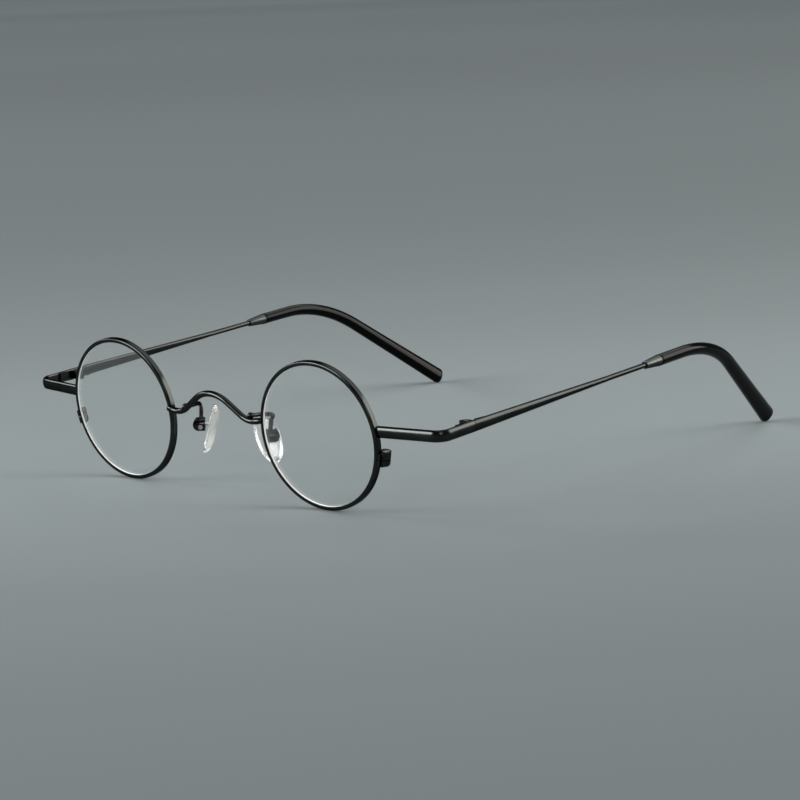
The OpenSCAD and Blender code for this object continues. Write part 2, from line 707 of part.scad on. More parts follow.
module ferrule() color(gunmetal) at_temple() translate([0, ferrule_at, 0]) rotate([-90, 0, 0])
    rotate_extrude($fn = 64)
    polygon([
        [wire_d / 2 + seat, 0], [ferrule_front_d / 2 - ferrule_edge, 0], [ferrule_front_d / 2, ferrule_edge],
        [tip_front_d / 2, ferrule_l - 2 * ferrule_edge], [tip_front_d / 2 - ferrule_edge, ferrule_l - seat],
        [wire_d / 2 + seat, ferrule_l - seat]
    ]);

// A tip is one skin: from the blind end of its bore out to the front, and back over the outside
module tip() color(acetate) at_temple()
    skin(concat(backwards(core_rings(tip_at + moving_gap, seat, core_short - 2 * moving_gap)), tip_rings));

on_left() rim();  // left_rim
on_right() rim();  // right_rim
on_left() lens();  // left_lens
on_right() lens();  // right_lens
on_left() lock_top();  // left_lock_top
on_right() lock_top();  // right_lock_top
on_left() lock_bottom();  // left_lock_bottom
on_right() lock_bottom();  // right_lock_bottom
on_left() lock_screw();  // left_lock_screw
on_right() lock_screw();  // right_lock_screw
on_left() bridge();
on_left() pad_arm();  // left_pad_arm
on_right() pad_arm();  // right_pad_arm
on_left() pad_box();  // left_pad_box
on_right() pad_box();  // right_pad_box
on_left() pad_screw();  // left_pad_screw
on_right() pad_screw();  // right_pad_screw
on_left() pad_core();  // left_pad_core
on_right() pad_core();  // right_pad_core
on_left() nose_pad();  // left_nose_pad
on_right() nose_pad();  // right_nose_pad
on_left() end_piece();  // left_end_piece
on_right() end_piece();  // right_end_piece
on_left() front_hinge();  // left_front_hinge
on_right() front_hinge();  // right_front_hinge
on_left() hinge_screw();  // left_hinge_screw
on_right() hinge_screw();  // right_hinge_screw
on_left() temple_hinge();  // left_temple_hinge
on_right() temple_hinge();  // right_temple_hinge
on_left() temple();  // left_temple
on_right() temple();  // right_temple
on_left() ferrule();  // left_ferrule
on_right() ferrule();  // right_ferrule
on_left() tip();  // left_tip
on_right() tip();  // right_tip
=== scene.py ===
"""The looks of a pair of round wire eyeglasses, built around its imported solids.

Sizes are in metres. X runs across the face with +X on the wearer's left, the lenses face -Y
and Z is up. The left side is modelled, and the right side is its mirror.
"""

import json
import math

import bmesh
import bpy
from bpy.props import FloatProperty, FloatVectorProperty, PointerProperty
from bpy.types import Operator, Panel, PropertyGroup
from mathutils import Matrix, Vector


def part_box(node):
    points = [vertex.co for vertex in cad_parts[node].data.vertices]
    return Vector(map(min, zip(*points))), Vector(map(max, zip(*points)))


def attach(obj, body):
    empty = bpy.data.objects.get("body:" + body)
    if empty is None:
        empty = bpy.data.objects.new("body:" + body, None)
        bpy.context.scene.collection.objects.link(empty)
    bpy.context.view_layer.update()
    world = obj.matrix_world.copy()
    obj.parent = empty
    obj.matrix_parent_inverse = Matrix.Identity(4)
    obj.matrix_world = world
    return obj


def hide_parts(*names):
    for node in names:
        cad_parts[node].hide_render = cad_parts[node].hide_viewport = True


bl_info = {
    "name": "Round Wire Eyeglasses",
    "version": (1, 0, 0),
    "blender": (4, 5, 0),
    "location": "View3D > Sidebar > Eyeglasses",
    "description": "Builds polished rims, lenses, bridge, pads, temples and tips on their solids",
    "category": "Object",
}

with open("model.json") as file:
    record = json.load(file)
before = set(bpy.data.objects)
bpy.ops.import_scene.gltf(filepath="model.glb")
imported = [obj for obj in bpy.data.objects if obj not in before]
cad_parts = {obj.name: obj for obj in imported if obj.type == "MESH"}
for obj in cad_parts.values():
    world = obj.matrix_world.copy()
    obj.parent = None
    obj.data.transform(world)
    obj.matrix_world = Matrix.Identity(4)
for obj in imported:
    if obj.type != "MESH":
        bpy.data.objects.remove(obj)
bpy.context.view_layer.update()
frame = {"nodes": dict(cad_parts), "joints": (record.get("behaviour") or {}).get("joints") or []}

MM = 0.001
JOINT_AT = {joint["name"]: Vector(joint["pos_m"]) for joint in frame["joints"]}
HINGE_PIN = JOINT_AT["left_temple_fold"]
PAD_PIVOT = JOINT_AT["left_pad_rock"]
RIM_CENTRE = sum(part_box("left_rim"), Vector()) / 2
TO_RIGHT = Matrix.Scale(-1, 4, (1, 0, 0))

# Edges of a solid that turn more than the first angle are rounded, and those that turn less
# than the second are dissolved before that
CRISP_ANGLE = math.radians(32)
FLAT_ANGLE = math.radians(1)

# The pad arm's bends in millimetres: the first, halfway back, is beside and above the knob, and
# the others are beside and behind the foot in the box, and above the knob
ARM_FIRST_BEND = (0.4, -0.1)
ARM_BENDS = ((0.4, -0.3, -0.2), (0.6, 0.4, -0.7), (0.2, 0.3, -1.6))

# From a nose pad's flat side to its crown: depth and how far the outline is drawn in there,
# both as shares of the pad's thickness
PAD_LEVELS = (
    (0, 0.9), (0, 0.45), (0.02, 0.22), (0.07, 0.08), (0.16, 0.01), (0.26, 0), (0.42, 0.06),
    (0.6, 0.22), (0.76, 0.45), (0.88, 0.72), (0.96, 1.05), (1, 1.4),
)

# Painted light and shade on the floor: the level direction in which they change, back past the
# glasses, and the painted levels: metres from the middle of the floor, and strength there
PAINTED_LIGHT_RUNS = (-0.78, 0.626)
PAINTED_FLOOR_LIGHT = (
    (-0.26, 0.61), (-0.16, 0.7), (-0.11, 0.77), (-0.03, 0.93), (0.06, 0.93), (0.16, 0.8),
    (0.28, 0.69), (0.45, 0.6), (1, 0.585), (1.8, 0.66), (2.7, 1), (3.3, 1.5), (5, 3),
)

# Each panel's width and height per metre of distance, its level direction from the rims,
# its elevation in degrees and its tint
WHITE = (1, 1, 1)
PANELS = {
    "key": (0.56, 0.45, (-0.55, -0.84), 15.5, WHITE),
    "front": (0.22, 0.22, (0.740, -0.596), 18.2, WHITE),
    "side": (0.36, 0.2, (-0.95, -0.31), 21, WHITE),
    "rear": (0.62, 0.6, (0.656, 0.755), 20.5, (1, 0.98, 0.9)),
    "back": (1.15, 0.48, (0, 1), 49, WHITE),
    "overhead": (0.67, 0.67, (0, 1), 89, WHITE),
}

# Metres from the middle of the floor to its sides, and from the rims to each panel
FLOOR_REACH = 12
PANEL_DISTANCE = 3

# The camera: millimetres of lens and sensor, degrees of azimuth, elevation and roll, and its
# place in metres, with y counted from the middle of the rims
LENS = 121.5
SENSOR = 36
CAMERA_TURNS = (42, 10.29, -1.93)
CAMERA_AT = (0.42614, -0.41287, 0.12773)


# Sizes and colours


def length(name, description, millimetres):
    return FloatProperty(
        name=name, description=description, default=millimetres * MM, min=0,
        unit="LENGTH", precision=5,
    )


def angle(name, description, degrees):
    return FloatProperty(
        name=name, description=description, default=math.radians(degrees), unit="ROTATION"
    )


def number(name, description, value):
    return FloatProperty(name=name, description=description, default=value, min=0)


def colour(name, description, value):
    return FloatVectorProperty(
        name=name, description=description, default=value, min=0, max=1, size=3, subtype="COLOR"
    )


class RimSizes(PropertyGroup):
    radius: length("Radius", "Outside radius of a rim", 16.8)
    wall: length("Wall", "Radial wall of a rim", 0.95)
    depth: length("Depth", "Depth of a rim from front to back", 1.5)
    edge: length("Edge rounding", "Rounding of the outer band's rear edge", 0.2)
    front_edge: length("Front edge", "Rounding of the outer band's front edge", 0.42)
    lip: length("Lip rounding", "Rounding of the rim's edges beside the lens", 0.1)
    groove: length("Groove", "Depth of the groove that holds the lens", 0.4)
    slit: length("Slit", "Width of the saw cut at the lock", 0.16)
    lock_angle: angle("Lock angle", "Angle of the lock below the rim's outer side", 12.6)
    lean: angle("Lean", "Forward lean of the tops of the rims", 6.7)
    wrap: angle("Wrap", "Backward sweep of the outer sides of the rims", 1.5)


class LensSizes(PropertyGroup):
    thickness: length("Thickness", "Thickness of a lens", 1.3)
    curve: length("Curve", "Radius of the front surface", 130)
    seat: length("Seat", "Clearance between a lens and its groove", 0.01)


class BridgeSizes(PropertyGroup):
    wire: length("Wire", "Diameter of the bridge wire", 1.4)
    rise: length("Rise", "Height of the valleys above the middle of the rims", 1.6)
    valley_x: length("Valley place", "Distance of a valley from the middle of the nose", 11.8)
    arch: length("Arch", "Radius of the arch", 8.5)
    valley: length("Valley", "Radius of the valleys", 5.4)
    slope: angle("Slope", "Steepest slope of the wire", 36)
    lean: angle("Lean", "Forward lean of the arch", 10.7)
    upturn: angle("Upturn", "Upturn of the wire's ends at the rims", 10)
    proud: length("Proud", "How far the wire stands in front of the rims", 0.1)
    lap: length("Lap", "How far the wire's end reaches over the rim", 0.55)
    cap: length("Cap", "Length of the rounding at the wire's ends", 0.18)
    cap_wire: length("Cap wire", "Diameter of the flat left on the wire's rounded ends", 1.064)


class PadSizes(PropertyGroup):
    splay: angle("Splay", "Angle of the pads' width to the line of sight", 42)
    lean: angle("Lean", "Lean of the pads' tops towards the nose", 14.6)
    turn: angle("Turn", "Turn of the pads in their own plane, tops forwards", 16)
    height: length("Height", "Length of a pad", 12.2)
    width: length("Width", "Width of a pad", 6)
    thickness: length("Thickness", "Thickness of a pad", 2)
    reach: length("Reach", "Distance of the pad's flat side from its pivot", 1.7)
    ahead: length("Ahead", "Distance of the pad's middle in front of its pivot", 1)
    lift: length("Lift", "Height of the pad's middle over its pivot", 0.1)
    leaf_back: length("Insert depth", "Depth of the insert's rear side in the silicone", 0.5)
    arm_wire: length("Arm wire", "Diameter of the pad arm", 0.95)
    knob: length("Knob", "Diameter of the brazed knob where the arm starts", 1.5)
    knob_inset: length("Knob place", "How much nearer the nose the knob is than the valley", 1.45)
    knob_back: length("Knob depth", "Distance of the knob behind the bridge wire", 1.1)
    knob_rise: length("Knob height", "Height of the knob over the valley", 0.95)
    box: length("Box", "Diameter of the round pad box", 3.3)
    box_lift: length("Box height", "Height of the box's middle over the pad's pivot", 0.5)
    foot: length("Foot", "How deep the arm's foot sits in the box", 0.7)
    foot_inset: length("Foot place", "How much nearer the nose the foot is than the pivot", 0.4)
    foot_ahead: length("Foot ahead", "Distance of the foot in front of the pivot", 0.1)


class BarSizes(PropertyGroup):
    middle_x: length("Middle", "Distance of the bar from the middle of the glasses", 63.3)
    height: length("Height", "Height of the bar at the hinge", 2.55)
    thickness: length("Thickness", "Thickness of the bar", 1.1)
    crown: number("Crown", "Squareness of the bar's outer side, where 2 is an oval", 2.1)
    inner_crown: number("Inner crown", "Squareness of the bar's inner side", 6)
    corner_back: length("Corner", "Distance of the pin behind the end piece's corner", 10.3)
    sweep: angle("Sweep", "Backward sweep of the end piece's front arm", 8)
    bend: length("Bend", "Radius of the end piece's bend", 2.9)
    rise: angle("Rise", "Upward slope of the temples towards the back", 3.9)
    taper: length("Taper", "Length of the tapered bar", 47)
    wire: length("Wire", "Diameter of the temple wire behind the taper", 1.2)
    gap: length("Gap", "Gap between the end piece and the temple", 0.075)
    edge: length("Edge", "Rounding of the bar's end faces at the hinge", 0.06)
    lap: number("Lap", "Share of the rim's wall that the end piece reaches into", 0.45)


class TipSizes(PropertyGroup):
    ferrule_at: length("Ferrule place", "Distance from the hinge pin to the ferrule", 60.4)
    ferrule: length("Ferrule", "Length of a ferrule", 5.4)
    ferrule_front: length("Ferrule front", "Diameter of a ferrule's front end", 1.8)
    bead: length("Bead", "Length of the bead round a ferrule's back end", 0.5)
    bead_step: length("Bead step", "Height of the bead over the flare", 0.05)
    front: length("Front", "Diameter of a tip where it meets the ferrule", 2.7)
    end_height: length("End height", "Width of the tip's flat sides at its end", 4.1)
    end_thickness: length("End thickness", "Thickness of the tip at its end", 2.9)
    fullness: number("Fullness", "Fullness of the end's oval, where 2 is an ellipse", 2.3)
    swell: number("Swell", "How late the tip widens, where 1 is evenly", 1.5)
    straight: length("Straight", "Length of the tip before it bends", 8.9)
    bend_radius: length("Bend radius", "Radius of the bend behind the ear", 35)
    bend: angle("Bend", "Angle of the bend behind the ear", 39.7)
    lean: angle("Lean", "Inward lean of the drop behind the ear", 19.6)
    cap: length("Cap", "Length over which the tip's end is rounded", 1.2)
    edge: length("Edge", "Rounding of the tip's front edge", 0.15)
    seat: length("Seat", "Gap between the ferrule and the tip's front face", 0.05)
    bore_play: length("Bore play", "Gap between the tip's bore and its core wire", 0.02)
    core_short: length("Core", "Bare length of acetate past the core wire", 8)


class Finishes(PropertyGroup):
    metal: colour("Frame metal", "Dark plating of the frame", (0.032, 0.0345, 0.0335))
    temple: colour("Temple metal", "Dark plating of the temples", (0.028, 0.0302, 0.0295))
    ferrule: colour("Ferrules", "Polished plating of the ferrules", (0.062, 0.065, 0.063))
    screw: colour("Small screws", "Dark steel of the other screws", (0.13, 0.135, 0.135))
    bright: colour("Pad screws", "Bright steel of the pad screws", (0.62, 0.62, 0.63))
    acetate: colour("Acetate", "Black acetate of the tips", (0.0014, 0.0018, 0.0019))
    lens: colour("Lens", "Clear lens", (0.97, 0.98, 0.985))
    silicone: colour("Silicone", "Clear silicone of the pads", (0.95, 0.96, 0.96))
    insert: colour("Pad insert", "Pale insert in the pads", (0.92, 0.92, 0.89))
    edge: colour("Lens edge", "Ground edge that shows white in the lens", (0.97, 0.97, 0.96))


class StudioSettings(PropertyGroup):
    floor: colour("Floor", "Colour of the floor", (0.246, 0.28, 0.289))
    air: colour("Room colour", "Colour of the even room light", (0.95, 1, 1))
    sky: number("Room light", "Strength of the even room light", 0.08)
    key: number("Key panel", "Brightness of the panel at the front", 16)
    front: number("Front panel", "Brightness of the small panel near the camera", 8)
    side: number("Side panel", "Brightness of the panel on the wearer's right", 18)
    rear: number("Rear panel", "Brightness of the broad panel behind", 7.5)
    back: number("Back panel", "Brightness of the wide, dim panel behind", 2.2)
    overhead: number("Overhead panel", "Brightness of the panel overhead", 1.4)


# Meshes


def signed_power(value, power):
    return math.copysign(abs(value) ** power, value)


def oval(half_height, half_width, fullness, around=48):
    """An oval as (side, up) points. Its fullness is 2 for an ellipse and more when squarer."""
    turns = [math.tau * (i + 0.5) / around for i in range(around)]
    return [
        (signed_power(math.cos(turn), 2 / fullness) * half_width,
         signed_power(math.sin(turn), 2 / fullness) * half_height)
        for turn in turns
    ]


def round_section(radius, around=36):
    turns = [math.tau * (i + 0.5) / around for i in range(around)]
    return [(radius * math.cos(turn), radius * math.sin(turn)) for turn in turns]


def ring(centre, up, side, points):
    return [centre + side * s + up * u for s, u in points]


def finish_mesh(bm, name, matrix, sharp):
    """Welds, smooths and places a mesh, and marks edges over the sharp angle as crisp."""
    bmesh.ops.remove_doubles(bm, verts=bm.verts, dist=0.0005 * MM)
    bmesh.ops.recalc_face_normals(bm, faces=bm.faces)
    mesh = bpy.data.meshes.new(name)
    bm.to_mesh(mesh)
    bm.free()
    mesh.transform(matrix)
    mesh.shade_smooth()
    mesh.set_sharp_from_angle(angle=math.radians(sharp))
    return mesh


def skin(name, rings, matrix=Matrix(), sharp=40, ring_closed=False):
    """A mesh over rings of points, with an end face at both ends unless the rings close."""
    bm = bmesh.new()
    rows = [[bm.verts.new(p) for p in points] for points in rings]
    count = len(rows[0])
    pairs = list(zip(rows, rows[1:])) + ([(rows[-1], rows[0])] if ring_closed else [])
    for first, second in pairs:
        for i in range(count):
            j = (i + 1) % count
            bm.faces.new((first[i], first[j], second[j], second[i]))
    if not ring_closed:
        bm.faces.new(rows[0][::-1])
        bm.faces.new(rows[-1])
    return finish_mesh(bm, name, matrix, sharp)


def soften(points, radius, steps=4):
    """A closed outline with every corner rounded, as far as its neighbours leave room."""
    rounded = []
    for i, point in enumerate(points):
        here = Vector(point)
        before = Vector(points[i - 1]) - here
        after = Vector(points[(i + 1) % len(points)]) - here
        wanted = radius(i) if callable(radius) else radius
        reach = min(wanted, 0.45 * before.length, 0.45 * after.length)
        if reach < 0.001 * MM:
            rounded.append(here)
            continue
        a, b = here + before.normalized() * reach, here + after.normalized() * reach
        for k in range(steps + 1):
            t = k / steps
            rounded.append(a * (1 - t) ** 2 + here * 2 * t * (1 - t) + b * t ** 2)
    return rounded


def lathe(name, outline, segments, matrix=Matrix(), sharp=40, start=0.0, sweep=math.tau):
    """Turns an outline of (radius, depth) points round the Y axis."""
    full = abs(sweep - math.tau) < 1e-6
    rings = []
    for i in range(segments if full else segments + 1):
        turn = start + sweep * i / segments
        rings.append([Vector((r * math.cos(turn), y, r * math.sin(turn))) for r, y in outline])
    return skin(name, rings, matrix, sharp, ring_closed=full)


def softened_node(node, name, width, segments=2):
    """A copy of a solid's mesh with its crisp edges rounded."""
    bm = bmesh.new()
    bm.from_mesh(frame["nodes"][node].data)
    bmesh.ops.remove_doubles(bm, verts=bm.verts, dist=0.001 * MM)
    bmesh.ops.dissolve_limit(
        bm, angle_limit=FLAT_ANGLE, use_dissolve_boundaries=False, verts=bm.verts, edges=bm.edges
    )
    crisp = [e for e in bm.edges if len(e.link_faces) == 2 and e.calc_face_angle() > CRISP_ANGLE]
    bmesh.ops.bevel(
        bm, geom=crisp, offset=width, segments=segments, profile=0.5,
        affect="EDGES", clamp_overlap=True,
    )
    return finish_mesh(bm, name, Matrix(), sharp=50)


def add_piece(name, mesh, body, slot, materials, *nodes):
    piece = bpy.data.objects.new(name, mesh)
    bpy.context.scene.collection.objects.link(piece)
    for material in materials if isinstance(materials, tuple) else (materials,):
        mesh.materials.append(material)
    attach(piece, body)
    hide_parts(*nodes)


def add_pair(name, mesh, body, slot, materials, *nodes):
    """The left piece and its mirror. {side} is left or right in the body and the nodes."""
    mirrored = mesh.copy()
    mirrored.transform(TO_RIGHT)
    mirrored.flip_normals()
    for side, shape in (("left", mesh), ("right", mirrored)):
        add_piece(
            f"{name}_{side}", shape, body.format(side=side), slot, materials,
            *(node.format(side=side) for node in nodes),
        )


# Places


def at_rim():
    rim = bpy.context.scene.eyeglass_rims
    return (
        Matrix.Translation(RIM_CENTRE)
        @ Matrix.Rotation(rim.wrap, 4, "Z")
        @ Matrix.Rotation(rim.lean, 4, "X")
    )


def at_temple():
    bar = bpy.context.scene.eyeglass_bars
    place = Vector((bar.middle_x, HINGE_PIN.y, HINGE_PIN.z))
    return Matrix.Translation(place) @ Matrix.Rotation(bar.rise, 4, "X")


def at_bridge():
    """The x of the left rim's side at the nose, and the place of the plane of the wire."""
    rim, bridge = bpy.context.scene.eyeglass_rims, bpy.context.scene.eyeglass_bridge
    anchor = at_rim() @ Vector((-rim.radius, -rim.depth / 2, bridge.rise))
    place = Vector((0, anchor.y - bridge.proud, anchor.z))
    return anchor.x, Matrix.Translation(place) @ Matrix.Rotation(bridge.lean, 4, "X")


def at_pad():
    pad = bpy.context.scene.eyeglass_pads
    return (
        Matrix.Translation(PAD_PIVOT)
        @ Matrix.Rotation(-pad.splay, 4, "Z")
        @ Matrix.Rotation(-pad.lean, 4, "Y")
        @ Matrix.Translation((-pad.reach, -pad.ahead, pad.lift))
        @ Matrix.Rotation(pad.turn, 4, "X")
    )


# Materials


def new_material(name):
    material = bpy.data.materials.new(name)
    material.use_nodes = True
    nodes, links = material.node_tree.nodes, material.node_tree.links
    return material, nodes, links, nodes["Principled BSDF"]


def noise(nodes, links, scale, detail=3.0):
    where = nodes.new("ShaderNodeTexCoord")
    texture = nodes.new("ShaderNodeTexNoise")
    texture.inputs["Scale"].default_value = scale
    texture.inputs["Detail"].default_value = detail
    links.new(where.outputs["Object"], texture.inputs["Vector"])
    return texture


def ramp(nodes, links, source, low, high):
    """Spreads the middle of a noise's range from low to high."""
    spread = nodes.new("ShaderNodeMapRange")
    spread.inputs["From Min"].default_value = 0.3
    spread.inputs["From Max"].default_value = 0.7
    spread.inputs["To Min"].default_value = low
    spread.inputs["To Max"].default_value = high
    links.new(source, spread.inputs["Value"])
    return spread.outputs["Result"]


def shaded(nodes, links, source, base, low, high):
    """A colour that drifts between two strengths of itself."""
    mix = nodes.new("ShaderNodeMix")
    mix.data_type = "RGBA"
    mix.inputs["A"].default_value = (*(c * low for c in base), 1)
    mix.inputs["B"].default_value = (*(min(c * high, 1) for c in base), 1)
    links.new(ramp(nodes, links, source, 0, 1), mix.inputs["Factor"])
    return mix.outputs["Result"]


def plated_metal(name, base, gloss=0.2):
    """Dark plating, polished, with cloudy handling marks and fine polishing grain."""
    material, nodes, links, shader = new_material(name)
    shader.inputs["Metallic"].default_value = 1
    shader.inputs["Specular Tint"].default_value = (0.4, 0.4, 0.4, 1)
    clouds = noise(nodes, links, scale=240).outputs["Fac"]
    links.new(shaded(nodes, links, clouds, base, 0.9, 1.1), shader.inputs["Base Color"])
    links.new(ramp(nodes, links, clouds, gloss * 0.8, gloss * 1.25), shader.inputs["Roughness"])
    grain = noise(nodes, links, scale=9000, detail=2)
    bump = nodes.new("ShaderNodeBump")
    bump.inputs["Strength"].default_value = 0.05
    bump.inputs["Distance"].default_value = 0.01 * MM
    links.new(grain.outputs["Fac"], bump.inputs["Height"])
    links.new(bump.outputs["Normal"], shader.inputs["Normal"])
    return material


def glossy_plastic(name, base, roughness, ior):
    """Moulded or tumbled plastic with a slightly wavy polished skin."""
    material, nodes, links, shader = new_material(name)
    waves = noise(nodes, links, scale=180).outputs["Fac"]
    links.new(shaded(nodes, links, waves, base, 0.85, 1.15), shader.inputs["Base Color"])
    uneven = ramp(nodes, links, waves, roughness * 0.8, roughness * 1.25)
    links.new(uneven, shader.inputs["Roughness"])
    shader.inputs["IOR"].default_value = ior
    return material


def clear_body(name, base, roughness, ior, transmission):
    """Clear plastic or silicone, whose shadow stays light."""
    material, nodes, links, shader = new_material(name)
    shader.inputs["Base Color"].default_value = (*base, 1)
    shader.inputs["Roughness"].default_value = roughness
    shader.inputs["IOR"].default_value = ior
    shader.inputs["Transmission Weight"].default_value = transmission
    through = nodes.new("ShaderNodeBsdfTransparent")
    rays = nodes.new("ShaderNodeLightPath")
    mix = nodes.new("ShaderNodeMixShader")
    passing = nodes.new("ShaderNodeMath")
    passing.operation = "MAXIMUM"
    links.new(rays.outputs["Is Shadow Ray"], passing.inputs[0])
    links.new(rays.outputs["Is Diffuse Ray"], passing.inputs[1])
    links.new(passing.outputs["Value"], mix.inputs["Fac"])
    links.new(shader.outputs["BSDF"], mix.inputs[1])
    links.new(through.outputs["BSDF"], mix.inputs[2])
    links.new(mix.outputs["Shader"], nodes["Material Output"].inputs["Surface"])
    return material


MATERIALS = {}


def finish_of(name):
    """The material of one of the finishes, made when it is first used."""
    if name not in MATERIALS:
        look = bpy.context.scene.eyeglass_finishes
        makers = {
            "frame_metal": lambda: plated_metal("polished_plating", look.metal),
            "temple_metal": lambda: plated_metal("polished_temple_plating", look.temple),
            "ferrule": lambda: plated_metal("polished_ferrule_plating", look.ferrule, 0.3),
            "small_screw": lambda: plated_metal("dark_steel", look.screw, 0.2),
            "pad_screw": lambda: plated_metal("bright_steel", look.bright, 0.25),
            "acetate": lambda: glossy_plastic("black_acetate", look.acetate, 0.12, 1.15),
            "lens": lambda: clear_body("clear_lens", look.lens, 0.0, 1.6, 1.0),
            "pad_silicone": lambda: clear_body("clear_silicone", look.silicone, 0.2, 1.41, 1.0),
            "pad_core": lambda: clear_body("pale_insert", look.insert, 0.25, 1.5, 0.85),
            "ground_edge": lambda: glossy_plastic("ground_edge", look.edge, 0.6, 1.5),
        }
        MATERIALS[name] = makers[name]()
    return MATERIALS[name]


# Operators


class BuildRims(Operator):
    """Builds the two rims, with rounded edges, lens groove and saw cut"""

    bl_idname = "eyeglasses.build_rims"
    bl_label = "Rims"

    def execute(self, context):
        rim = context.scene.eyeglass_rims
        inner, half = rim.radius - rim.wall, rim.depth / 2
        corners = [
            (inner, -half), (rim.radius, -half), (rim.radius, half), (inner, half),
            (inner, rim.groove), (inner + rim.groove, 0), (inner, -rim.groove),
        ]
        edges = (rim.lip, rim.front_edge, rim.edge, rim.lip, 0, 0, 0)
        outline = soften(corners, lambda i: edges[i], steps=8)
        cut = rim.slit / rim.radius
        mesh = lathe(
            "rim", outline, 240, at_rim(), sharp=35,
            start=-rim.lock_angle + cut / 2, sweep=math.tau - cut,
        )
        add_pair("rim", mesh, "front", "frame_metal", finish_of("frame_metal"), "{side}_rim")
        return {"FINISHED"}


class BuildLenses(Operator):
    """Builds the two lenses, curved on both sides, with a bevel that sits in the rim's groove"""

    bl_idname = "eyeglasses.build_lenses"
    bl_label = "Lenses"

    def execute(self, context):
        rim, lens = context.scene.eyeglass_rims, context.scene.eyeglass_lenses
        edge = rim.radius - rim.wall - lens.seat
        tip = edge + rim.groove
        # The centre that both surfaces curve about lies behind the lens
        centre = math.sqrt(lens.curve ** 2 - edge ** 2) - lens.thickness / 2
        steps = 20

        def surface(curve):
            radii = [edge * i / steps for i in range(steps + 1)]
            return [(r, centre - math.sqrt(curve ** 2 - r ** 2)) for r in radii]

        front, back = surface(lens.curve), surface(lens.curve - lens.thickness)
        outline = front + [(edge, -rim.groove), (tip, 0), (edge, rim.groove)] + back[::-1]
        place = at_rim()
        mesh = lathe("lens", outline, 192, place, sharp=20)
        home = place.inverted()
        # The faces of the bevel are the ground edge
        for face in mesh.polygons:
            middle = home @ face.center
            if math.hypot(middle.x, middle.z) > edge * 0.999:
                face.material_index = 1
        finishes = finish_of("lens"), finish_of("ground_edge")
        add_pair("lens", mesh, "front", "lens", finishes, "{side}_lens")
        return {"FINISHED"}


class BuildBridge(Operator):
    """Builds the bridge: one wire with an arch over the nose and a valley beside each rim"""

    bl_idname = "eyeglasses.build_bridge"
    bl_label = "Bridge"

    def execute(self, context):
        size = context.scene.eyeglass_bridge
        anchor_x, place = at_bridge()
        line = self.middle_line(size, anchor_x + size.lap)
        rings = [self.wire_ring(x, z, a, size.wire) for x, z, a in line]
        caps = [
            self.wire_ring(x + run * math.cos(a), z + run * math.sin(a), a, size.cap_wire)
            for (x, z, a), run in ((line[0], -size.cap), (line[-1], size.cap))
        ]
        mesh = skin("bridge", [caps[0], *rings, caps[1]], place, sharp=60)
        add_piece("bridge_wire", mesh, "front", "frame_metal", finish_of("frame_metal"), "bridge")
        return {"FINISHED"}

    def middle_line(self, size, end_x, steps=24):
        """The wire's middle from end to end, as (x, z, angle of its slope)."""
        arcs = size.arch + size.valley
        slope_run = (size.valley_x - arcs * math.sin(size.slope)) / math.cos(size.slope)
        top = arcs * (1 - math.cos(size.slope)) + slope_run * math.sin(size.slope)
        half = []
        for i in range(steps + 1):
            a = size.slope * i / steps
            half.append((size.arch * math.sin(a), top - size.arch * (1 - math.cos(a)), -a))
        for i in range(steps + 1):
            a = -size.slope + (size.slope + size.upturn) * i / steps
            x = size.valley_x + size.valley * math.sin(a)
            half.append((x, size.valley * (1 - math.cos(a)), a))
        x, z, a = half[-1]
        half.append((end_x, z + (end_x - x) * math.tan(a), a))
        return [(-x, z, -a) for x, z, a in half[:0:-1]] + half

    def wire_ring(self, x, z, a, wire):
        up = Vector((-math.sin(a), 0, math.cos(a)))
        return ring(Vector((x, 0, z)), up, Vector((0, -1, 0)), round_section(wire / 2))


def arm_line():
    """Points that the pad arm's wire passes through, from its knob to its foot in the box."""
    bridge, pad = bpy.context.scene.eyeglass_bridge, bpy.context.scene.eyeglass_pads
    _, place = at_bridge()
    valley = Vector((bridge.valley_x, place.translation.y, place.translation.z))
    knob = valley + Vector((-pad.knob_inset, pad.knob_back, pad.knob_rise))
    box_top = pad.box_lift + pad.box / 2
    foot = PAD_PIVOT + Vector((-pad.foot_inset, -pad.foot_ahead, box_top - pad.foot))
    beside, above = ARM_FIRST_BEND
    first = Vector((knob.x + beside * MM, (knob.y + foot.y) / 2, knob.z + above * MM))
    bends = [
        Vector((foot.x + beside * MM, foot.y + behind * MM, knob.z + above * MM))
        for beside, behind, above in ARM_BENDS
    ]
    return [knob, first, *bends, foot]


def spline(points, per_span):
    """Points and headings on a smooth curve through the given points."""
    padded = [points[0]] + points + [points[-1]]
    line = []
    for i in range(len(points) - 1):
        a, b, c, d = padded[i:i + 4]
        for k in range(per_span + (i == len(points) - 2)):
            t = k / per_span
            first, second, third = c - a, 2 * a - 5 * b + 4 * c - d, 3 * b - a - 3 * c + d
            place = b + 0.5 * (first * t + second * t ** 2 + third * t ** 3)
            way = first + 2 * second * t + 3 * third * t ** 2
            line.append((place, way.normalized()))
    return line


